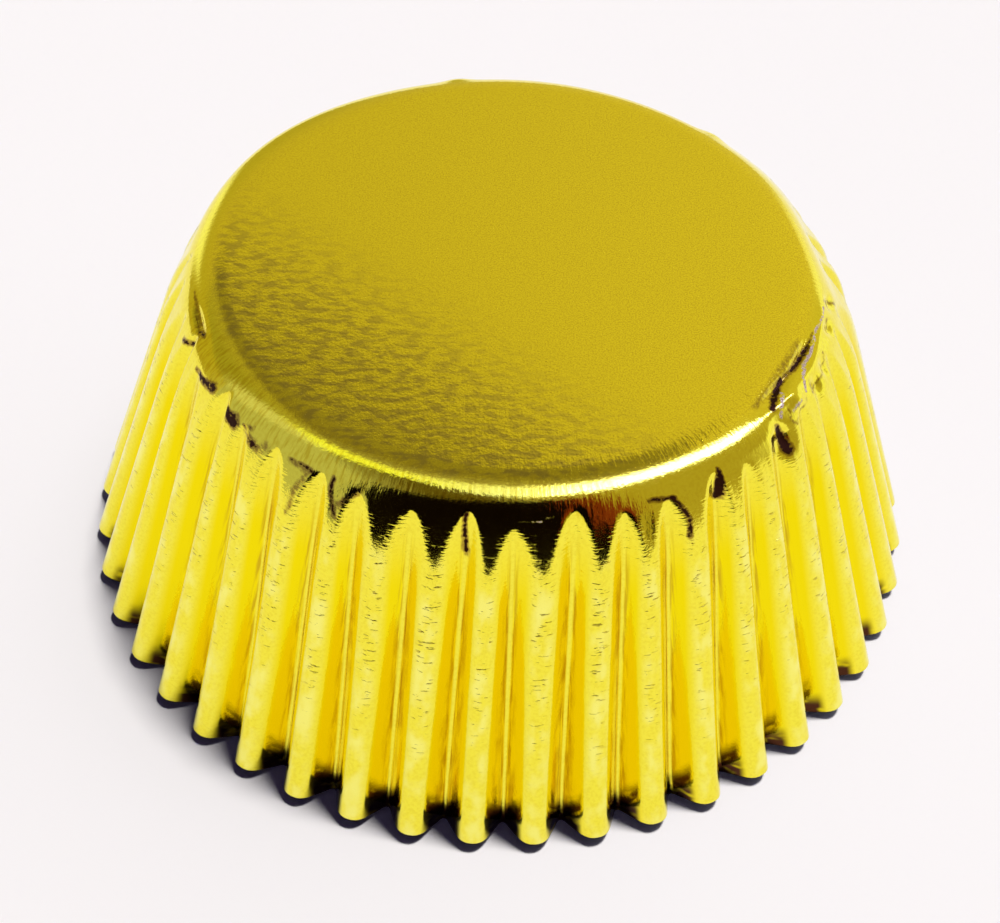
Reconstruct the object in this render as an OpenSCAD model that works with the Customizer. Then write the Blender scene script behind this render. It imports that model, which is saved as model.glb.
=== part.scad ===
// Foil cupcake liner, standing mouth down, with its flat base on top.
// Millimetres, Z up, origin at the middle of the mouth on the table.

/* [Flat blank] */
// Width across the flat base, up to where its edge starts to roll
base_d = 46.4; // [24:0.2:80]
// Wall measured along the sheet, from the flat base to the mouth
wall_l = 34; // [18:0.5:60]
// Thickness of the foil and paper sheet
sheet_t = 0.1; // [0.08:0.01:0.3]

/* [Wall shape] */
// Lean of the wall away from upright
wall_angle = 19.6; // [10:0.2:32]
// Radius of the rolled edge round the base
roll_r = 4.8; // [3:0.1:7]
// Slope at which the roll gives way to the easy bend
roll_slope = 58; // [45:1:62]
// Length of the easy bend that ends in the straight wall
ease_l = 6.3; // [2:0.1:10]

/* [Pleats] */
// Number of pleats round the wall
pleats = 46; // [24:2:48]
// Share of each pleat taken by its rounded ridge
ridge_share = 0.48; // [0.36:0.01:0.56]
// Share of the pleat depth taken by the crown of the ridge
crown_share = 0.26; // [0.1:0.01:0.4]
// Width of the fold at the bottom of each valley
crease_w = 0.4; // [0.2:0.05:0.5]
// Mean distance of the valley tops below the flat base
tip_s = 4.1; // [3.6:0.1:6]
// How far single valley tops stray from that mean
tip_stray = 0.46; // [0:0.02:0.5]
// How far valley tops stray sideways, as a share of a pleat
side_stray = 0.3; // [0:0.02:0.36]
// Length below the valley tops over which the sharp folds round out
round_l = 9; // [4:0.5:14]
// Start of the pleat depth curve below the flat base
depth_s = 3; // [2:0.1:3.4]
// Power of the pleat depth curve
depth_power = 0.74; // [0.6:0.02:1]

/* [Crumpled edge] */
// Direction of the crumpled part of the edge, in degrees
dent_at = 330; // [0:1:359]
// Strength of its creases, as a share of their true depth
dent_depth = 1; // [0:0.05:1.3]

/* [Hidden] */
foil = [0.85, 0.72, 0.1];
columns = 7;
count = round(pleats);
across = count * columns;
wall_slope = 90 - wall_angle;
roll_l = roll_r * roll_slope * PI / 180;
ease_r = ease_l / ((wall_slope - roll_slope) * PI / 180);

// Radius and drop of the ridge line, a path length s from the flat base
function roll_turn(s) = min(s, roll_l) / roll_r * 180 / PI;
function ease_turn(s) = roll_slope + max(0, min(s - roll_l, ease_l)) / ease_r * 180 / PI;
function rest_l(s) = max(0, s - roll_l - ease_l);
function ridge_r(s) = base_d / 2 + roll_r * sin(roll_turn(s))
    + ease_r * (sin(ease_turn(s)) - sin(roll_slope)) + rest_l(s) * cos(wall_slope);
function ridge_drop(s) = roll_r * (1 - cos(roll_turn(s)))
    + ease_r * (cos(roll_slope) - cos(ease_turn(s))) + rest_l(s) * sin(wall_slope);

// Length of half a pleat of depth d drawn on a circle that gives it c of room
function half_pleat(d, c) = crease_w / 2
    + norm([0.55 * ridge_share * c / 2, crown_mid * d])
    + norm([0.45 * ridge_share * c / 2, (crown_share - crown_mid) * d])
    + norm([c / 2 - ridge_share * c / 2 - crease_w / 2, (1 - crown_share) * d]);
crown_mid = crown_share * pow(0.55, 2.5);

// Depth at which a pleat takes up all the sheet that the flat blank gives it
function fitted_depth(lo, hi, n) = n == 0 ? lo :
    2 * half_pleat((lo + hi) / 2, rim_room) < rim_sheet
        ? fitted_depth((lo + hi) / 2, hi, n - 1)
        : fitted_depth(lo, (lo + hi) / 2, n - 1);
rim_room = 2 * PI * ridge_r(wall_l) / count;
rim_sheet = 2 * PI * (base_d / 2 + wall_l) / count;
rim_depth = fitted_depth(0, rim_sheet / 2, 24);

// Top and sideways stray of each valley
function tip(i) = tip_s + tip_stray * (sin(136 * i + 156) + 0.6 * sin(171 * i - 5));
function stray(i) = side_stray * (sin(20 * i + 63) + 0.45 * sin(132 * i + 101));

// The pleats are folds of a cone, and the rolled edge lies inside that cone by this gap
function roll_gap(s) = ridge_r(wall_l) - ridge_r(s)
    - (ridge_drop(wall_l) - ridge_drop(s)) * tan(wall_angle);
function cone_depth(i, s) = pow(pow(roll_gap(tip(i)), 4)
    + pow(rim_depth * pow(max(0, s - depth_s) / (wall_l - depth_s), depth_power), 4), 0.25);

// Share of the depth at each column from one ridge middle to the next: sharp folds near
// the valley tops, rounded ridges further down
half_ridge = ridge_share / 2;
sharp_share = [0, 0.55 * ridge_share, ridge_share, 1, 1, ridge_share, 0.55 * ridge_share];
round_share = [0, crown_mid, crown_share, 1, 1, crown_share, crown_mid];
function roundness(s) = let (t = min(1, max(0, (s - tip_s) / round_l))) t * t * (3 - 2 * t);
function share(k, s) = sharp_share[k] + (round_share[k] - sharp_share[k]) * roundness(s);
function half_crease(s) = crease_w / 2 / (2 * PI * ridge_r(s) / count);
function column_at(k, s) = [0, 0.55 * half_ridge, half_ridge, 0.5 - half_crease(s),
    0.5 + half_crease(s), 1 - half_ridge, 1 - 0.55 * half_ridge][k];

// Where each column leaves the rolled edge, which draws an arch over every valley
function meeting(i, k, lo, hi, n) = let (s = (lo + hi) / 2)
    n == 0 ? s :
    share(k, s) * cone_depth(i, s) > roll_gap(s)
        ? meeting(i, k, lo, s, n - 1)
        : meeting(i, k, s, hi, n - 1);
arch = [for (i = [0 : count - 1]) [for (k = [0 : columns - 1])
    meeting(i, k, 0, roll_l + ease_l, 20)]];
function depth(i, k, s) = max(0, share(k, s) * cone_depth(i, s) - roll_gap(s));

// Drop of the valley line, which is as long as the ridge line beside it
function valley_l(i) = wall_l - tip(i);
function valley_drop(i) = ridge_drop(tip(i))
    + sqrt(pow(valley_l(i), 2) - pow(ridge_r(wall_l) - ridge_r(tip(i)) - rim_depth, 2));
function extra_drop(i, k, s) = (valley_drop(i) - ridge_drop(wall_l))
    * depth(i, k, s) / cone_depth(i, s) * max(0, s - tip(i)) / valley_l(i);

// Rings run down the sheet, and the fourth passes along the arches
function ring_s(r, i, k) = let (a = arch[i][k])
    [0, 0.9, 1.9, 1.9 + 0.33 * (a - 1.9), a,
    a + 0.14 * (wall_l - a), a + 0.45 * (wall_l - a), wall_l][r];
top_ring = 7;

// Crumples: degrees from dent_at, half spread, place down the sheet, half width, depth
crumples = [
    [-5, 5, 1.6, 0.45, 0.5],
    [5, 5, 1.8, 0.4, 0.45],
    [-4, 5, 2.7, 0.4, -0.22],
    [6, 4, 2.9, 0.4, -0.2],
    [15, 5, 2.5, 0.4, -0.18],
    [-3.5, 2, 3.5, 0.6, -0.3],
    [-10, 1.8, 5, 1.3, 0.7],
    [3, 1.4, 4.3, 0.7, 0.4],
    [7.5, 1.3, 4.3, 0.7, 0.35],
    [16, 1.3, 3.5, 0.5, 0.3],
    [23, 2, 3.5, 0.5, 0.35],
    [-134, 4, 3.1, 0.35, 0.35],
    [40, 15, 4.6, 2.4, 0.75],
    [80, 24, 3.4, 1.5, 0.28],
    [175, 26, 3.4, 1.5, -0.48],
    [75, 3, 3, 0.8, -0.25],
    [131, 3, 3, 0.8, -0.2]];
function off_by(a, b) = abs((a - b + 900) % 360 - 180);
function total(v, n) = n < 0 ? 0 : v[n] + total(v, n - 1);
function push(a, s) = s <= 0 ? 0 : dent_depth * total(
    [for (q = crumples) q[4] * exp(-pow(off_by(a, dent_at + q[0]) / q[1], 2)
        - pow((s - q[2]) / q[3], 2))], len(crumples) - 1);

function top_place(r, c) = let (i = floor(c / columns), k = c % columns,
        s = ring_s(r, i, k), u = column_at(k, s),
        w = pow(1 - s / wall_l, 1.5),
        before = stray((i + count - 1) % count), here = stray(i), after = stray((i + 1) % count),
        shift = w * (u < 0.5 ? (before + here) / 2 + u * (here - before)
            : here + (u - 0.5) * (after - here)),
        a = (i + u + shift) * 360 / count,
        turn = roll_turn(s),
        p = push(a, s),
        rr = ridge_r(s) - depth(i, k, s) - sin(turn) * p)
    [rr * cos(a), rr * sin(a), -ridge_drop(s) - extra_drop(i, k, s) - cos(turn) * p];

// The outer face, its normals and the inner face one sheet below it
outer = [for (r = [0 : top_ring]) [for (c = [0 : across - 1]) top_place(r, c)]];
function next(c) = (c + 1) % across;
function last(c) = (c + across - 1) % across;
function facing(r, c) = r == 0 ? [0, 0, 1] : let (
        along = outer[r][next(c)] - outer[r][last(c)],
        down = outer[min(r + 1, top_ring)][c] - outer[r - 1][c],
        n = cross(down, along))
    n / norm(n);
inner = [for (r = [0 : top_ring]) [for (c = [0 : across - 1])
    outer[r][c] - sheet_t * facing(r, c)]];
table_z = min([for (p = concat(outer[top_ring], inner[top_ring])) p[2]]);
lift = [0, 0, -table_z];

// Points: outer rings, inner rings, then the two middles of the base
shell = (top_ring + 1) * across;
points = concat(
    [for (ring = outer) for (p = ring) p + lift],
    [for (ring = inner) for (p = ring) p + lift],
    [lift, lift - [0, 0, sheet_t]]);
function at(side, r, c) = side * shell + r * across + c;
cols = [0 : across - 1];
bands = [0 : top_ring - 1];

// Each four-sided field is split along the line that keeps closest to one level
function arch_at(c) = arch[floor(c / columns)][c % columns];
function field(side, r, c, n) = arch_at(c) > arch_at(n)
    ? [[at(side, r, c), at(side, r, n), at(side, r + 1, n)],
        [at(side, r, c), at(side, r + 1, n), at(side, r + 1, c)]]
    : [[at(side, r, c), at(side, r, n), at(side, r + 1, c)],
        [at(side, r, n), at(side, r + 1, n), at(side, r + 1, c)]];
faces = concat(
    [for (c = cols) [2 * shell, at(0, 0, next(c)), at(0, 0, c)]],
    [for (c = cols) [2 * shell + 1, at(1, 0, c), at(1, 0, next(c))]],
    [for (r = bands) for (c = cols) for (f = field(0, r, c, next(c))) f],
    [for (r = bands) for (c = cols) for (f = field(1, r, c, next(c))) [f[0], f[2], f[1]]],
    [for (c = cols) [at(0, top_ring, c), at(0, top_ring, next(c)), at(1, top_ring, c)]],
    [for (c = cols) [at(0, top_ring, next(c)), at(1, top_ring, next(c)), at(1, top_ring, c)]]);

module liner() {
    color(foil)
    polyhedron(points, faces, convexity = 12);
}

liner();
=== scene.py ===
import math

import bpy
import numpy as np
from mathutils import Matrix, Vector


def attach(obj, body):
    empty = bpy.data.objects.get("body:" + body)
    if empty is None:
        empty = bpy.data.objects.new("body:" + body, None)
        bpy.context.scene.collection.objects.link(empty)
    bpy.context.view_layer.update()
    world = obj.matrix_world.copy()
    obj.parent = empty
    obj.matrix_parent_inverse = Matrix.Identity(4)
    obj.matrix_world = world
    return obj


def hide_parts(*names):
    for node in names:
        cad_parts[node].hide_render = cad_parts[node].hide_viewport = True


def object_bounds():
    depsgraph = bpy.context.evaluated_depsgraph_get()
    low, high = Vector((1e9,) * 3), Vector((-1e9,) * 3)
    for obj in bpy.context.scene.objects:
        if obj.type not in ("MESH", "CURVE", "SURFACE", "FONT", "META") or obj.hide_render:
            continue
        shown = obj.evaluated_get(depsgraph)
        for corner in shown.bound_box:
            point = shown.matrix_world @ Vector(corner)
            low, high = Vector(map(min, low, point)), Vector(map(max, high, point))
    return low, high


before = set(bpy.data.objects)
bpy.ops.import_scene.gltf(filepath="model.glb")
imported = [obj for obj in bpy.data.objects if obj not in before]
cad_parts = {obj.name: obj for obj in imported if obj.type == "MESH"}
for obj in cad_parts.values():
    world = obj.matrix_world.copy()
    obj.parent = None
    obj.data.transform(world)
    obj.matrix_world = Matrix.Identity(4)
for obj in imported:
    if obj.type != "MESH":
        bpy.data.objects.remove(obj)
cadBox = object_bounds()
mm = 0.001
print("CAD frame loaded")

# The liner's sizes in millimetres and degrees, the same as those of the solid
liner = {
    "baseD": 46.4,  # flat base, up to where its edge starts to roll
    "wallL": 34.0,  # wall along the sheet
    "sheetT": 0.1,
    "wallAngle": 19.6,
    "rollR": 4.8,
    "rollSlope": 58.0,
    "easeL": 6.3,
    "pleats": 46,
    "ridgeShare": 0.48,
    "crownShare": 0.26,
    "creaseW": 0.4,
    "roundL": 9.0,
    "tipS": 4.1,
    "tipStray": 0.46,
    "sideStray": 0.3,
    "depthS": 3.0,
    "depthPower": 0.74,
    "dentAt": 330.0,
    "dentDepth": 1.0,
}

# Crumples of the edge: degrees from dentAt, half spread, place down the sheet, half width, depth
crumples = [
    (-5, 5, 1.6, 0.45, 0.5),  # groove beside the flat base
    (5, 5, 1.8, 0.4, 0.45),
    (-4, 5, 2.7, 0.4, -0.22),  # raised crest outside it
    (6, 4, 2.9, 0.4, -0.2),
    (15, 5, 2.5, 0.4, -0.18),
    (-3.5, 2, 3.5, 0.6, -0.3),  # blister
    (-10, 1.8, 5.0, 1.3, 0.7),  # fold that ends in a deep pleat
    (3, 1.4, 4.3, 0.7, 0.4),  # creases in the form of a V
    (7.5, 1.3, 4.3, 0.7, 0.35),
    (16, 1.3, 3.5, 0.5, 0.3),
    (23, 2, 3.5, 0.5, 0.35),
    (-134, 4, 3.1, 0.35, 0.35),  # crease at the far side
    (40, 15, 4.6, 2.4, 0.75),  # shoulder pressed in
    (80, 24, 3.4, 1.5, 0.28),
    (175, 26, 3.4, 1.5, -0.48),  # shoulder standing out
    (75, 3, 3.0, 0.8, -0.25),  # kinks of the back edge
    (131, 3, 3.0, 0.8, -0.2),
]


def sind(a):
    return np.sin(np.radians(a))


def cosd(a):
    return np.cos(np.radians(a))


# Radius and drop of the ridge line at a length s down the sheet from the flat base
def ridgeLine(s):
    p = liner
    wallSlope = 90 - p["wallAngle"]
    rollL = p["rollR"] * math.radians(p["rollSlope"])
    easeR = p["easeL"] / math.radians(wallSlope - p["rollSlope"])
    rollTurn = np.degrees(np.minimum(s, rollL) / p["rollR"])
    easeTurn = p["rollSlope"] + np.degrees(np.clip(s - rollL, 0, p["easeL"]) / easeR)
    straight = np.maximum(0, s - rollL - p["easeL"])
    radius = p["baseD"] / 2 + p["rollR"] * sind(rollTurn)
    radius = radius + easeR * (sind(easeTurn) - sind(p["rollSlope"])) + straight * cosd(wallSlope)
    drop = p["rollR"] * (1 - cosd(rollTurn))
    drop = drop + easeR * (cosd(p["rollSlope"]) - cosd(easeTurn)) + straight * sind(wallSlope)
    return radius, drop


# Depth at which a pleat takes up all the sheet that the flat blank gives it
def fittedDepth():
    p = liner
    room = 2 * math.pi * ridgeLine(p["wallL"])[0] / p["pleats"]
    sheet = 2 * math.pi * (p["baseD"] / 2 + p["wallL"]) / p["pleats"]
    halfRidge = p["ridgeShare"] * room / 2
    crownMid = p["crownShare"] * 0.55**2.5
    low, high = 0.0, sheet / 2
    for step in range(24):
        d = (low + high) / 2
        half = p["creaseW"] / 2
        half += math.hypot(0.55 * halfRidge, crownMid * d)
        half += math.hypot(0.45 * halfRidge, (p["crownShare"] - crownMid) * d)
        half += math.hypot(room / 2 - halfRidge - p["creaseW"] / 2, (1 - p["crownShare"]) * d)
        if 2 * half < sheet:
            low = d
        else:
            high = d
    return low


rimDepth = fittedDepth()


def valleyTip(i):
    return liner["tipS"] + liner["tipStray"] * (sind(136 * i + 156) + 0.6 * sind(171 * i - 5))


def valleyStray(i):
    return liner["sideStray"] * (sind(20 * i + 63) + 0.45 * sind(132 * i + 101))


# Push of the crumpled edge, square to the sheet
def edgePush(a, s):
    push = 0 * s
    for turn, spread, middle, width, depth in crumples:
        off = np.abs((a - liner["dentAt"] - turn + 900) % 360 - 180)
        push = push + depth * np.exp(-((off / spread) ** 2) - ((s - middle) / width) ** 2)
    return liner["dentDepth"] * np.where(s <= 0, 0, push)


# How far the rolled edge lies inside the wall's cone, which ends the pleats in arches
def rollGap(s):
    radius, drop = ridgeLine(s)
    rimR, rimDrop = ridgeLine(liner["wallL"])
    return rimR - (rimDrop - drop) * math.tan(math.radians(liner["wallAngle"])) - radius


# Share of the pleat depth at u, from 0 at one ridge's middle to 1 at the next
def sectionDepth(u, creaseShare, roundness):
    p = liner
    a = 1 - np.abs(u - 0.5) * 2
    crown = p["crownShare"] * (a / p["ridgeShare"]) ** 2.5
    flank = p["crownShare"] + (1 - p["crownShare"]) * (a - p["ridgeShare"]) / (
        1 - p["ridgeShare"] - creaseShare
    )
    rounded = np.where(a < p["ridgeShare"], crown, np.minimum(flank, 1))
    straight = np.minimum(a / (1 - creaseShare), 1)
    return straight + (rounded - straight) * roundness


# Outer face of the wall as a grid of points, rings down the sheet and columns round it
def wallPoints(sList, uList):
    p = liner
    count = p["pleats"]
    pleat = np.repeat(np.arange(count), len(uList))
    u = np.tile(uList, count)
    s = np.array(sList)[:, None] + 0 * u[None, :]
    valley = pleat + 0 * s.astype(int)
    tip = valleyTip(valley)
    before = valleyStray((valley + count - 1) % count)
    here = valleyStray(valley)
    after = valleyStray((valley + 1) % count)
    fade = (1 - s / p["wallL"]) ** 1.5
    shift = fade * np.where(
        u < 0.5, (before + here) / 2 + u * (here - before), here + (u - 0.5) * (after - here)
    )
    angle = (valley + u + shift) * 360 / count
    radius, drop = ridgeLine(s)
    creaseShare = p["creaseW"] / (2 * math.pi * radius / count)
    reach = np.maximum(s - p["depthS"], 0) / (p["wallL"] - p["depthS"])
    fromBlank = rimDepth * reach ** p["depthPower"]
    coneDepth = (rollGap(tip) ** 4 + fromBlank**4) ** 0.25
    roundness = np.clip((s - p["tipS"]) / p["roundL"], 0, 1)
    roundness = roundness**2 * (3 - 2 * roundness)
    depth = np.maximum(coneDepth * sectionDepth(u, creaseShare, roundness) - rollGap(s), 0)
    tipR, tipDrop = ridgeLine(tip)
    rimR, rimDrop = ridgeLine(p["wallL"])
    valleyL = p["wallL"] - tip
    valleyDrop = tipDrop + np.sqrt(valleyL**2 - (rimR - tipR - rimDepth) ** 2)
    share = depth / np.maximum(coneDepth, 1e-6)
    extra = (valleyDrop - rimDrop) * share * np.maximum(s - tip, 0) / valleyL
    push = edgePush(angle, s)
    turned = np.minimum(s / p["rollR"], math.radians(p["rollSlope"]))
    r = radius - depth - np.sin(turned) * push
    z = -drop - extra - np.cos(turned) * push
    points = np.stack([r * cosd(angle), r * sind(angle), z], -1)
    acrossRidge = 1 - np.abs(u - 0.5) * 2 + 0 * s
    return points, np.stack([s, angle, acrossRidge], -1)


def faceNormals(grid, middleFlat):
    along = np.roll(grid, -1, 1) - np.roll(grid, 1, 1)
    down = np.gradient(grid, axis=0)
    n = np.cross(down, along)
    n /= np.maximum(np.linalg.norm(n, axis=-1, keepdims=True), 1e-12)
    n[:middleFlat] = (0, 0, 1)
    return n


detail = {
    "baseRings": [6.0, 12.0, 17.0, 21.0],  # radii of the flat base's inner rings
    "rollRings": 14,
    "archRings": 28,
    "wallRings": 8,
    "archEnd": 11.0,
    "columns": [0, 0.07, 0.13, 0.18, 0.23, 0.28, 0.36, 0.44, 0.475],  # from ridge to valley
}


# Marks on the folds: strength, half width at the first and the last place, then the places as
# (degrees round, millimetres down the sheet)
# painted shade deep in the creases, folds and cracks of the sheet
shadeMarks = [
    (1.0, 0.2, 0.2, [(320.8, 2.45), (323, 2.0), (326.2, 1.6), (328, 1.5)]),  # the groove
    (0.6, 0.25, 0.25, [(328, 1.5), (331.5, 1.7)]),
    (0.95, 0.18, 0.2, [(331.5, 1.8), (335, 1.9), (337.8, 2.0)]),
    (0.6, 0.12, 0.1, [(338.5, 1.95), (342, 2.0)]),
    (0.34, 0.36, 0.36, [(318.5, 1.4), (323, 1.15), (330, 0.95), (338, 1.2)]),
    (1.2, 0.2, 0.36, [(319.8, 3.9), (320.2, 4.9), (320.3, 6.1)]),  # the deep fold
    (0.42, 0.14, 0.16, [(339.5, 3.4), (338.5, 4.0), (335, 4.3), (331, 4.3), (331.8, 3.5)]),
    (0.42, 0.14, 0.14, [(323.5, 3.4), (323, 4.3), (323.8, 4.8), (326.5, 4.3), (328.5, 4.1)]),
    (0.42, 0.14, 0.24, [(352, 2.7), (353.5, 3.4), (354.5, 4.4)]),
    (0.42, 0.12, 0.2, [(348, 3.0), (346.2, 3.4)]),
    (1.2, 0.14, 0.3, [(305, 3.8), (304.8, 4.7), (304.2, 6.0)]),
    (0.9, 0.14, 0.16, [(291.8, 4.0), (295.8, 4.3), (297.2, 5.5), (298, 6.5), (297.5, 7.9)]),
    (0.9, 0.12, 0.16, [(262.5, 3.8), (262.2, 5.0), (262.8, 7.6)]),  # crack in one valley's top
    (0.7, 0.2, 0.2, [(244.8, 4.3), (243.2, 5.0), (242.2, 5.8)]),
    (0.75, 0.16, 0.18, [(240, 4.0), (240.2, 5.1), (241.2, 6.1), (241.8, 6.8)]),
    (0.45, 0.25, 0.2, [(235.2, 5.0), (234, 6.4), (234, 7.7), (233.8, 8.4)]),
    (0.8, 0.14, 0.22, [(231.5, 4.4), (233.8, 4.3), (235.8, 4.3)]),  # folds at the left
    (0.4, 0.4, 0.4, [(221.5, 4.9), (225.5, 5.2), (226.5, 4.7)]),
    (0.8, 0.3, 0.3, [(223, 5.1), (224.2, 5.3)]),
    (0.6, 0.12, 0.12, [(220.5, 4.6), (222.8, 4.1)]),
    (1.1, 0.2, 0.45, [(215.4, 4.6), (217, 5.0), (218.2, 4.9)]),
    (1.0, 0.1, 0.34, [(204, 5.0), (206.5, 5.0), (209, 4.8), (210.5, 4.5)]),
    (0.8, 0.2, 0.25, [(196.5, 5.3), (199.8, 4.7)]),
    (0.8, 0.2, 0.2, [(198.5, 3.3), (200.2, 3.1)]),
    (0.5, 0.12, 0.36, [(188.5, 3.0), (193.5, 3.1), (199.5, 3.3)]),
]
bareMarks = [
    (0.9, 0.12, 0.12, [(350, 2.6), (346.5, 2.5), (343, 2.15), (340.5, 2.3), (337.5, 2.4)]),
    (0.95, 0.14, 0.16, [(337.5, 2.4), (333.8, 2.35), (331, 2.8), (329.5, 3.6)]),
    (0.85, 0.16, 0.22, [(325.2, 2.15), (322.4, 2.8), (321.5, 3.4)]),
    (0.6, 0.3, 0.36, [(326.8, 3.6), (324.6, 3.8)]),
    (0.62, 0.14, 0.18, [(270.2, 4.4), (273.2, 4.3), (276, 4.0)]),
]


# Share of a set of marks at each point, falling off from their lines to twice the half width
def markShare(marks, turn, s):
    share = np.zeros(len(s))
    perDegree = math.radians(liner["baseD"] / 2 + 3)
    for strength, first, last, line in marks:
        pieces = len(line) - 1
        for i in range(pieces):
            (turnA, sA), (turnB, sB) = line[i : i + 2]
            alongX, alongY = (turnB - turnA) * perDegree, sB - sA
            offX = ((turn - turnA + 540) % 360 - 180) * perDegree
            offY = s - sA
            t = np.clip((offX * alongX + offY * alongY) / (alongX**2 + alongY**2), 0, 1)
            gap = np.hypot(offX - t * alongX, offY - t * alongY)
            width = first + (last - first) * (i + t) / pieces
            share = np.maximum(share, strength * np.clip(1.1 - gap / width / 2, 0, 1))
    return share


def makeLinerMesh():
    p = liner
    half = detail["columns"]
    uList = np.array(half + [0.5] + [1 - x for x in half[:0:-1]])
    rollEnd = p["tipS"] - 1.3
    sList = np.concatenate([
        np.linspace(0, rollEnd, detail["rollRings"], endpoint=False),
        np.linspace(rollEnd, detail["archEnd"], detail["archRings"], endpoint=False),
        np.linspace(detail["archEnd"], p["wallL"] - 0.05, detail["wallRings"]),
        [p["wallL"]],  # the last ring keeps the cut edge sharp
    ])
    wall, facts = wallPoints(sList, uList)
    edge = wall[0]
    base = [edge * (r / (p["baseD"] / 2)) for r in detail["baseRings"]]
    outer = np.concatenate([np.stack(base), wall])
    baseFacts = [facts[0] * (0, 1, 1) + (r - p["baseD"] / 2, 0, 0) for r in detail["baseRings"]]
    facts = np.concatenate([np.stack(baseFacts), facts])
    normals = faceNormals(outer, len(base) + 1)
    inner = outer - p["sheetT"] * normals
    lift = cadBox[1][2] / mm
    rings, across = outer.shape[:2]
    shell = rings * across
    middles = np.array([[0, 0, 0], [0, 0, -p["sheetT"]]])
    points = np.concatenate([outer.reshape(-1, 3), inner.reshape(-1, 3), middles]) + (0, 0, lift)
    points[:, 2] = np.clip(points[:, 2], 0, lift)

    c = np.arange(across)
    n = (c + 1) % across
    r = np.arange(rings - 1)[:, None] * across
    quads = np.stack([r + c, r + across + c, r + across + n, r + n], -1).reshape(-1, 4)
    last = (rings - 1) * across
    rim = np.stack([last + c, shell + last + c, shell + last + n, last + n], -1)
    quads = np.concatenate([quads, (quads + shell)[:, ::-1], rim])
    fans = [(2 * shell, a, b) for a, b in zip(c, n)]
    fans += [(2 * shell + 1, shell + b, shell + a) for a, b in zip(c, n)]
    mesh = bpy.data.meshes.new("liner")
    mesh.from_pydata((points * mm).tolist(), [], quads.tolist() + fans)
    mesh.polygons.foreach_set("use_smooth", [True] * len(mesh.polygons))
    s, turn, acrossRidge = np.concatenate([facts.reshape(-1, 3)] * 2 + [np.zeros((2, 3))]).T
    ring = p["baseD"] / 2 * np.stack([cosd(turn), sind(turn)])
    place = mesh.attributes.new("sheetPlace", "FLOAT_VECTOR", "POINT")
    place.data.foreach_set("vector", np.stack([*ring, s], -1).astype(np.float32).ravel())
    outside = (np.arange(len(s)) < shell) | (np.arange(len(s)) == 2 * shell)
    shares = {
        "acrossRidge": acrossRidge,
        # painted shade deep in the creases
        "shadeMark": markShare(shadeMarks, turn, s) * outside,
        "bareMark": markShare(bareMarks, turn, s) * outside,
        "insideFace": 1.0 - outside,
    }
    for name, share in shares.items():
        layer = mesh.attributes.new(name, "FLOAT", "POINT")
        layer.data.foreach_set("value", share.astype(np.float32))
    mesh.update()
    return mesh


# Sizes and heights in millimetres, directions in degrees round the flat base
foil = {
    "gold": (0.95, 0.85, 0.06),
    "goldDim": (0.90, 0.78, 0.05),
    "goldPale": (0.98, 0.93, 0.19),
    "goldReflected": (0.94, 0.77, 0.003),  # painted reflection of the gold walls in one another, down the sides of the pleats
    "goldBase": (0.95, 0.79, 0.03),  # the flat base
    "speck": (0.76, 0.60, 0.025),  # fine grain of the flat base
    "brownShade": (0.66, 0.45, 0.012),  # painted shade in streaks beside the folds in the valleys
    "footShade": (0.07, 0.022, 0.008),  # painted shade at the mouth, deep between the ridges
    "bare": (0.60, 0.46, 0.42),  # where the gold is rubbed off the creases
    "bareDim": (0.34, 0.23, 0.15),
    "mottle": (0.56, 0.44, 0.045),  # patches at the front left of the flat base
    "shadeEdge": (0.40, 0.28, 0.03),  # painted shade beside the creases, round their darkest part
    "dark": (0.042, 0.013, 0.005),  # painted shade deep in the creases
    "fromTable": (0.24, 0.25, 0.36),  # what the table gets back from the foil
    "baseSheen": 0.2,  # share of soft light in the flat base's shine
    "bareSheen": 0.9,
    "roughness": 0.1,
    "dulled": 0.45,  # added over the painted shade in the creases, where creases are worn, and on the plain inside
    "grainSize": 0.26,
    "grainHeight": 0.009,
    "speckSize": 0.12,
    "rippleSide": 230,  # where the ripples and mottles of the flat base lie
    "rippleHeight": 0.008,
    "streakTurn": -28,
    "streakHeight": 0.003,
    "ribSide": 190,  # where the ribs start further down the rolled edge, and by how much
    "ribDelay": 4.0,
    "ribHeight": 0.018,
    "hatchSide": 240,
    "crinkleHeight": 0.028,
    "markHeight": 0.03,
    "waveHeight": 0.05,
}

# Where each finish, painted shade and painted reflection begins and is full, in millimetres down
# the sheet from the flat base
downSheet = {
    "base": (2.4, 1.0),
    "mottles": (1.8, 0.8),
    "edge": (0.3, 1.2),
    "edgeEnd": (5.0, 3.6),
    "ribs": (-1.6, 1.0),
    "ribsEnd": (5.5, 3.5),
    "crinkles": (4.3, 5.5),
    "crinklesEnd": (15.0, 7.0),
    "wall": (5.0, 12.0),
    "waves": (6.0, 10.0),
    "marks": (6.0, 9.0),
    "marksEnd": (32.0, 15.0),
    "shadedFeet": (31.4, 33.2),
}

# The same across a pleat, from 0 on the ridge's crown to 1 at the bottom of the valley
acrossPleat = {
    "crinkles": (0.1, 0.35),
    "marks": (0.44, 0.2),
    "crown": (0.46, 0.16),
    "flank": (0.36, 0.6),
    "flankEnd": (0.98, 0.86),
    "fold": (0.72, 0.88),
    "foldEnd": (0.97, 0.9),
    "shadedFeet": (0.44, 0.6),
}


def addNode(tree, kind, **values):
    made = tree.nodes.new(kind)
    for name, value in values.items():
        if hasattr(made, name):
            setattr(made, name, value)
        else:
            made.inputs[name].default_value = value
    return made


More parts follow.
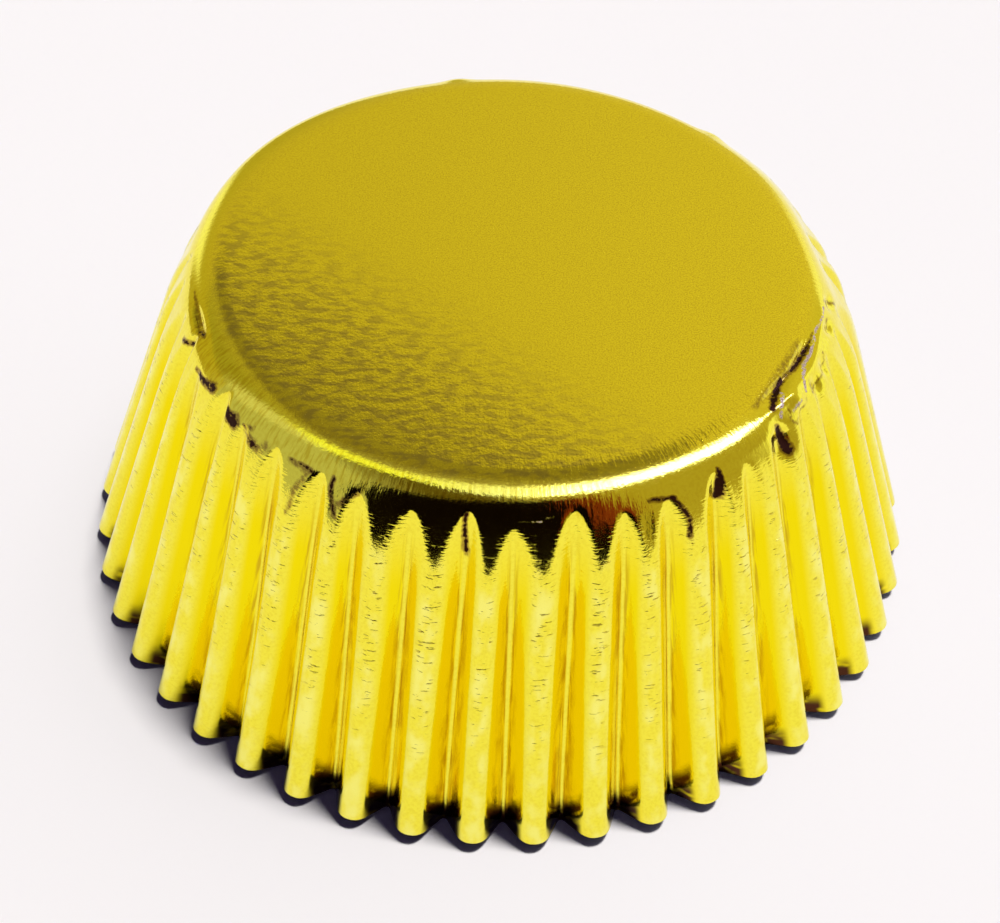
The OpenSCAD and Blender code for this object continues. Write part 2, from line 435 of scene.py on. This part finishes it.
# The sums, smooth steps and colour mixes that the foil and the room are made of
def nodeSums(tree):
    link = tree.links.new

    def calc(operation, *values):
        node = addNode(tree, "ShaderNodeMath", operation=operation)
        for socket, value in zip(node.inputs, values):
            if isinstance(value, (int, float)):
                socket.default_value = value
            else:
                link(value, socket)
        return node.outputs[0]

    def times(first, *others):
        for other in others:
            first = calc("MULTIPLY", first, other)
        return first

    def band(value, low, high):
        step = addNode(tree, "ShaderNodeMapRange", interpolation_type="SMOOTHSTEP")
        step.inputs["From Min"].default_value = low
        step.inputs["From Max"].default_value = high
        link(value, step.inputs["Value"])
        return step.outputs["Result"]

    def blend(fac, a, b):
        mix = addNode(tree, "ShaderNodeMix", data_type="RGBA")
        link(fac, mix.inputs[0])
        for socket, value in ((mix.inputs[6], a), (mix.inputs[7], b)):
            if isinstance(value, tuple):
                socket.default_value = (*value, 1)
            else:
                link(value, socket)
        return mix.outputs[2]

    return calc, times, band, blend


def makeFoil():
    p = foil
    material = bpy.data.materials.new("gold foil")
    material.use_nodes = True
    tree = material.node_tree
    link = tree.links.new
    calc, times, band, blend = nodeSums(tree)
    shader = tree.nodes["Principled BSDF"]
    onSheet = addNode(tree, "ShaderNodeAttribute", attribute_name="sheetPlace")
    split = addNode(tree, "ShaderNodeSeparateXYZ")
    link(onSheet.outputs["Vector"], split.inputs["Vector"])
    s = split.outputs["Z"]  # length down the sheet, in millimetres
    place = addNode(tree, "ShaderNodeTexCoord").outputs["Object"]

    def share(name):
        return addNode(tree, "ShaderNodeAttribute", attribute_name=name).outputs["Fac"]

    def down(name):
        return band(s, *downSheet[name])

    def over(name):
        return band(across, *acrossPleat[name])

    def noiseAt(place, scale, detail):
        made = addNode(tree, "ShaderNodeTexNoise", Scale=scale, Detail=detail)
        link(place, made.inputs["Vector"])
        return made.outputs["Fac"]

    # noise on the laid out sheet, with its size along and around the wall
    def noise(along, around, detail=2.0):
        fitted = addNode(tree, "ShaderNodeVectorMath", operation="MULTIPLY")
        fitted.inputs[1].default_value = (1 / around, 1 / around, 1 / along)
        link(onSheet.outputs["Vector"], fitted.inputs[0])
        return noiseAt(fitted.outputs["Vector"], 1.0, detail)

    # noise on the flat base, with its two sizes and its direction
    def flatNoise(wide, deep, turn, detail=2.0):
        fitted = addNode(tree, "ShaderNodeMapping")
        fitted.inputs["Rotation"].default_value = (0, 0, math.radians(turn))
        fitted.inputs["Scale"].default_value = (1 / (wide * mm), 1 / (deep * mm), 0)
        link(place, fitted.inputs["Vector"])
        return noiseAt(fitted.outputs["Vector"], 1.0, detail)

    # smooth step of the distance from the middle towards a direction
    def towards(turn, low, high):
        node = addNode(tree, "ShaderNodeVectorMath", operation="DOT_PRODUCT")
        link(place, node.inputs[0])
        node.inputs[1].default_value = (cosd(turn), sind(turn), 0)
        return band(node.outputs["Value"], low * mm, high * mm)

    grain = noiseAt(place, 1 / (p["grainSize"] * mm), 2.0)
    specks = noiseAt(place, 1 / (p["speckSize"] * mm), 2.0)
    across = share("acrossRidge")
    onBase = down("base")
    below = down("wall")

    # ripples at the front left of the flat base, slanting streaks, ribs over its rolled edge
    ripples = times(flatNoise(3.0, 0.9, 8, 3.0), towards(p["rippleSide"], 6, 19), onBase)
    streaks = times(flatNoise(0.22, 3.0, p["streakTurn"], 1.0), onBase)
    ribStart = calc("MULTIPLY_ADD", towards(p["ribSide"], 8, 17), -p["ribDelay"], s)
    ribs = times(noise(1.6, 0.26, 2.0), band(ribStart, *downSheet["ribs"]), down("ribsEnd"))
    # crinkles beside the valleys' tops, short creases across the ridges, and slow waves
    upper = times(down("crinkles"), down("crinklesEnd"), over("crinkles"))
    crinkles = times(noise(0.2, 0.9, 2.0), upper)
    onRidge = times(down("marks"), down("marksEnd"), over("marks"))
    marks = times(band(noise(0.24, 0.7, 2.0), 0.6, 0.74), onRidge)
    waves = times(noise(2.2, 1.1, 1.0), down("waves"))
    bumps = [
        (ripples, p["rippleHeight"]),
        (streaks, p["streakHeight"]),
        (ribs, p["ribHeight"]),
        (crinkles, p["crinkleHeight"]),
        (marks, p["markHeight"]),
        (waves, p["waveHeight"]),
        (grain, p["grainHeight"]),
    ]
    normal = None
    for height, size in bumps:
        node = addNode(tree, "ShaderNodeBump", Distance=size * mm, Strength=1.0)
        link(height, node.inputs["Height"])
        if normal:
            link(normal, node.inputs["Normal"])
        normal = node.outputs["Normal"]
    link(normal, shader.inputs["Normal"])

    # the flat base and its rolled edge
    colour = blend(band(grain, 0.3, 0.6), p["goldDim"], p["gold"])
    colour = blend(onBase, colour, p["goldBase"])
    colour = blend(times(band(specks, 0.42, 0.66), onBase), colour, p["speck"])
    mottles = times(towards(p["rippleSide"], 5, 17), down("mottles"))
    mottles = times(mottles, band(flatNoise(1.3, 0.6, 12, 4.0), 0.42, 0.62))
    colour = blend(mottles, colour, p["mottle"])
    # streaks painted across the highlight on the rolled edge at the front left, a painted shade of
    # its fine ribs
    onEdge = times(down("edge"), down("edgeEnd"), towards(p["hatchSide"], 15, 20))
    hatch = times(onEdge, band(noise(1.2, 0.22, 2.0), 0.42, 0.7))
    colour = blend(hatch, colour, p["speck"])
    # the crowns and sides of the pleats, the folds in the valleys and the mouth between the
    # ridges, with painted reflection down the sides and painted shade by the folds and at the
    # mouth
    patches = times(below, over("crown"), band(noise(2.5, 1.0, 2.0), 0.42, 0.7))
    colour = blend(patches, colour, p["goldPale"])
    # painted reflection of the gold walls in one another down the sides of the pleats
    flanks = times(below, over("flank"), over("flankEnd"))
    colour = blend(flanks, colour, p["goldReflected"])
    # streaks of painted shade beside the folds in the valleys
    folds = times(below, over("fold"), over("foldEnd"))
    folds = times(folds, band(noise(3.0, 0.12, 2.0), 0.38, 0.66))
    colour = blend(folds, colour, p["brownShade"])
    # painted shade at the mouth, deep between the ridges
    shadedFeet = times(down("shadedFeet"), over("shadedFeet"))
    shadedFeet = times(shadedFeet, band(noise(0.8, 0.5, 1.0), 0.2, 0.5))
    colour = blend(shadedFeet, colour, p["footShade"])
    colour = blend(share("insideFace"), colour, p["goldDim"])
    # the creases: short ones across the ridges, then painted shade deep in the folds and the gold
    # rubbed off them, ragged along their edges
    colour = blend(times(marks, band(noise(3.0, 1.0, 1.0), 0.4, 0.6)), colour, p["mottle"])
    ragged = noise(0.3, 0.3, 4.0)
    shadedCrease = times(share("shadeMark"), ragged)
    colour = blend(band(shadedCrease, 0.06, 0.24), colour, p["shadeEdge"])
    bare = band(times(share("bareMark"), ragged), 0.22, 0.38)
    bareColour = blend(band(specks, 0.4, 0.62), p["bare"], p["bareDim"])
    colour = blend(bare, colour, bareColour)
    # the darkest painted shade, deep in the creases
    dark = band(shadedCrease, 0.25, 0.37)
    colour = blend(dark, colour, p["dark"])

    metal = calc("MULTIPLY_ADD", bare, -p["bareSheen"], 1)
    metal = calc("MULTIPLY_ADD", onBase, -p["baseSheen"], metal)
    link(metal, shader.inputs["Metallic"])
    dull = calc("MAXIMUM", calc("MAXIMUM", share("insideFace"), bare), dark)
    link(calc("MULTIPLY_ADD", dull, p["dulled"], p["roughness"]), shader.inputs["Roughness"])
    rays = addNode(tree, "ShaderNodeLightPath")
    colour = blend(rays.outputs["Is Diffuse Ray"], colour, p["fromTable"])
    link(colour, shader.inputs["Base Color"])
    return material


def makeLiner():
    piece = bpy.data.objects.new("liner", makeLinerMesh())
    bpy.context.collection.objects.link(piece)
    piece.data.materials.append(makeFoil())
    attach(piece, "root")
    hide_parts("liner")
    return piece


linerPiece = makeLiner()
print("liner made,", len(linerPiece.data.polygons), "faces")

table = {
    "half": 1.2,  # metres
    "colour": (0.93, 0.905, 0.893, 1),
}


def makeTable():
    h = table["half"]
    mesh = bpy.data.meshes.new("table")
    mesh.from_pydata([(-h, -h, 0), (h, -h, 0), (h, h, 0), (-h, h, 0)], [], [(0, 1, 2, 3)])
    floor = bpy.data.objects.new("table", mesh)
    bpy.context.collection.objects.link(floor)
    material = bpy.data.materials.new("white table")
    material.use_nodes = True
    shader = material.node_tree.nodes["Principled BSDF"]
    shader.inputs["Base Color"].default_value = table["colour"]
    shader.inputs["Roughness"].default_value = 0.9
    shader.inputs["Specular IOR Level"].default_value = 0.1
    mesh.materials.append(material)


makeTable()

# Camera found from the photograph, with its pixels and the liner's millimetres
shot = {
    "focalPx": 1710.0,
    "imageW": 1000.0,
    "distance": 125.8,
    "elevation": 48.0,
    "roll": 2.68,
    "turn": -2.13,  # the ridges are turned by this from the picture's middle line
    "aim": (-0.28, -22.66),
}


def placeCamera():
    data = bpy.data.cameras.new("camera")
    data.sensor_width = 36
    data.lens = shot["focalPx"] / shot["imageW"] * data.sensor_width
    data.clip_start = 0.005
    camera = bpy.data.objects.new("camera", data)
    bpy.context.collection.objects.link(camera)
    bpy.context.scene.camera = camera
    e = math.radians(shot["elevation"])
    back = Vector((0, -math.cos(e), math.sin(e)))
    right = Vector((1, 0, 0))
    up = back.cross(right)
    c, s = math.cos(math.radians(shot["roll"])), math.sin(math.radians(shot["roll"]))
    tiltedRight = c * right + s * up
    tiltedUp = c * up - s * right
    aim = Vector((*shot["aim"], cadBox[1][2] / mm)) * mm
    place = Matrix((tiltedRight, tiltedUp, back)).transposed().to_4x4()
    place.translation = aim + back * shot["distance"] * mm
    camera.matrix_world = Matrix.Rotation(math.radians(shot["turn"]), 4, "Z") @ place


placeCamera()
print("camera placed")

# The room by direction: what the floor is lit by, and what the foil shows
room = {
    "sky": (0.38, 0.39, 0.43),  # light on the floor from above, behind and the right
    "fill": (0.028, 0.021, 0.055),  # faint light from the front
    "sun": 2.95,
    "sunColour": (1.0, 0.985, 0.96),
    "sunFrom": (36, 69.4),  # degrees round and up
    "sunSpread": 10,
    "side": (2.5, 2.4, 2.8),  # soft light from the right, which leaves a faint shadow at the left
    "sideFrom": (25, 64),
    "backLeft": (0.484, 0.406, 0.11),
    "backRight": (0.636, 0.55, 0.22),
    "backDimFar": (0.36, 0.32, 0.12),
    "backDimLeft": (0.13, 0.09, 0.04),
    "backDim": (0.11, 0.07, 0.015),
    "left": (0.64, 0.64, 1.0),
    "right": (0.44, 0.36, 0.16),
    "stripFar": (0.68, 0.68, 1.2),
    "stripLeft": (1.08, 1.18, 0.6),
    "strip": (1.1, 1.2, 3.4),
    "underLeft": (0.52, 0.52, 0.8),
    "underMiddle": (0.30, 0.28, 0.36),
    "underRight": (0.12, 0.09, 0.04),
    "stripGlow": (6.0, 6.5, 22.0),
    "horizon": (1.0, 1.0, 1.0),
    "viewer": (0.004, 0.002, 0.003),
    "viewerWarm": (0.2, 0.034, 0.03),
}

# Where each part of the room begins and is full: of a direction's x, y or z where no unit is named
roomEdges = {
    "backRight": (-0.25, 0.3),
    "backHigh": (0.69, 0.77),
    "dimLeft": (-0.5, -0.36),
    "dimRight": (-0.12, 0.06),
    "right": (-0.3, 0.5),
    "back": (-0.15, 0.35),
    "horizonLow": (0.33, 0.22),
    "horizonBack": (-0.3, 0.1),
    "horizonLeft": (-0.74, -0.66),
    "horizonLeftEnd": (-0.4, -0.5),
    "horizonRight": (0.4, 0.6),
    "stripFront": (-0.34, -0.25),  # radians past the zenith, as the next two
    "stripBack": (0.08, -0.06),
    "underBack": (0.0, -0.12),
    "stripHigh": (0.3, 0.5),
    "stripEnd": (0.77, 0.71),
    "stripLow": (-0.64, -0.42),
    "stripLowEnd": (-0.05, -0.25),
    "glowLeft": (-0.64, -0.48),
    "glowMiddle": (-0.35, 0.0),
    "glowRight": (0.02, 0.35),
    "underLeft": (-0.62, -0.48),
    "underRight": (-0.48, -0.3),
    "underEnd": (0.08, -0.04),
    "viewerLeft": (-51, -46),  # degrees round, as the next two
    "viewerRight": (42, 36),
    "viewerWarm": (22, 30),
    "viewerTop": (0.94, 0.88),
    "warmHigh": (0.1, 0.3),
    "sky": (0.3, 0.6),
    "skyHigh": (0.0, 0.1),
    "fillHigh": (0.3, 0.8),
    "side": (0.975, 0.993),  # cosine of the turn away from its middle
}


def fromWay(turn, up):
    return Vector((cosd(turn) * cosd(up), sind(turn) * cosd(up), sind(up)))


def lightRoom():
    world = bpy.data.worlds.new("room")
    bpy.context.scene.world = world
    world.use_nodes = True
    tree = world.node_tree
    link = tree.links.new
    calc, times, band, blend = nodeSums(tree)
    background = tree.nodes["Background"]
    place = addNode(tree, "ShaderNodeTexCoord")
    split = addNode(tree, "ShaderNodeSeparateXYZ")
    link(place.outputs["Generated"], split.inputs["Vector"])
    x, y, z = split.outputs

    def edge(value, name):
        return band(value, *roomEdges[name])

    # the wall behind, dimmer high up at the left
    tiltedZ = calc("MULTIPLY_ADD", x, -0.4, z)
    behind = blend(edge(x, "backRight"), room["backLeft"], room["backRight"])
    dim = blend(edge(x, "dimLeft"), room["backDimFar"], room["backDimLeft"])
    dim = blend(edge(x, "dimRight"), dim, room["backDim"])
    behind = blend(edge(tiltedZ, "backHigh"), behind, dim)
    beside = blend(edge(x, "right"), room["left"], room["right"])
    shown = blend(edge(y, "back"), beside, behind)
    outer = times(edge(x, "horizonLeft"), edge(x, "horizonLeftEnd"))
    outer = times(calc("ADD", outer, edge(x, "horizonRight")), edge(y, "horizonBack"))
    shown = blend(times(edge(z, "horizonLow"), outer), shown, room["horizon"])
    # the bright strip overhead, from the left side to the right
    curve = calc("MULTIPLY", calc("POWER", calc("ABSOLUTE", x), 2), 0.6)
    lean = calc("SUBTRACT", calc("ARCTAN2", y, z), curve)
    low = times(edge(x, "stripLow"), edge(x, "stripLowEnd"))
    low = calc("MULTIPLY_ADD", low, -0.12, lean)
    strip = times(edge(low, "stripFront"), edge(lean, "stripBack"))
    strip = times(strip, edge(z, "stripHigh"), edge(x, "stripEnd"))
    glow = blend(edge(x, "glowLeft"), room["stripFar"], room["stripLeft"])
    glow = blend(edge(x, "glowMiddle"), glow, room["strip"])
    glow = blend(edge(x, "glowRight"), glow, room["stripGlow"])
    # a dimmer surface in front of the strip at the left
    under = blend(edge(x, "underLeft"), room["underLeft"], room["underMiddle"])
    under = blend(edge(x, "underRight"), under, room["underRight"])
    shown = blend(times(edge(lean, "underBack"), edge(x, "underEnd")), shown, under)
    shown = blend(strip, shown, glow)
    # the viewer's dark shape in front
    side = calc("DEGREES", calc("ARCTAN2", x, times(y, -1)))
    lowered = calc("MULTIPLY_ADD", calc("MINIMUM", x, 0), -0.3, z)
    dark = times(edge(side, "viewerLeft"), edge(side, "viewerRight"), edge(lowered, "viewerTop"))
    warm = times(edge(side, "viewerWarm"), edge(z, "warmHigh"))
    shown = blend(dark, shown, blend(warm, room["viewer"], room["viewerWarm"]))

    # light on the floor comes from above and behind only
    skyward = calc("MULTIPLY_ADD", x, 0.68, times(y, 0.73))
    skyward = times(edge(skyward, "sky"), edge(z, "skyHigh"))
    above = blend(edge(z, "fillHigh"), (0.0, 0.0, 0.0), room["fill"])
    above = blend(skyward, above, room["sky"])
    near = addNode(tree, "ShaderNodeVectorMath", operation="DOT_PRODUCT")
    link(place.outputs["Generated"], near.inputs[0])
    near.inputs[1].default_value = fromWay(*room["sideFrom"])
    above = blend(edge(near.outputs["Value"], "side"), above, room["side"])
    rays = addNode(tree, "ShaderNodeLightPath")
    lit = calc("MINIMUM", rays.outputs["Diffuse Depth"], 1)
    mirrored = times(rays.outputs["Is Glossy Ray"], calc("SUBTRACT", 1, lit))
    colour = blend(mirrored, above, shown)
    colour = blend(rays.outputs["Is Camera Ray"], colour, (1.0, 1.0, 1.0))
    link(colour, background.inputs["Color"])
    background.inputs["Strength"].default_value = 1

    data = bpy.data.lights.new("sun", "SUN")
    data.angle = math.radians(room["sunSpread"])
    data.energy = room["sun"]
    data.color = room["sunColour"]
    sun = bpy.data.objects.new("sun", data)
    sun.rotation_euler = (-fromWay(*room["sunFrom"])).to_track_quat("-Z", "Y").to_euler()
    sun.visible_glossy = False
    bpy.context.collection.objects.link(sun)


lightRoom()
bpy.context.scene.view_settings.view_transform = "Standard"
print("room lit")
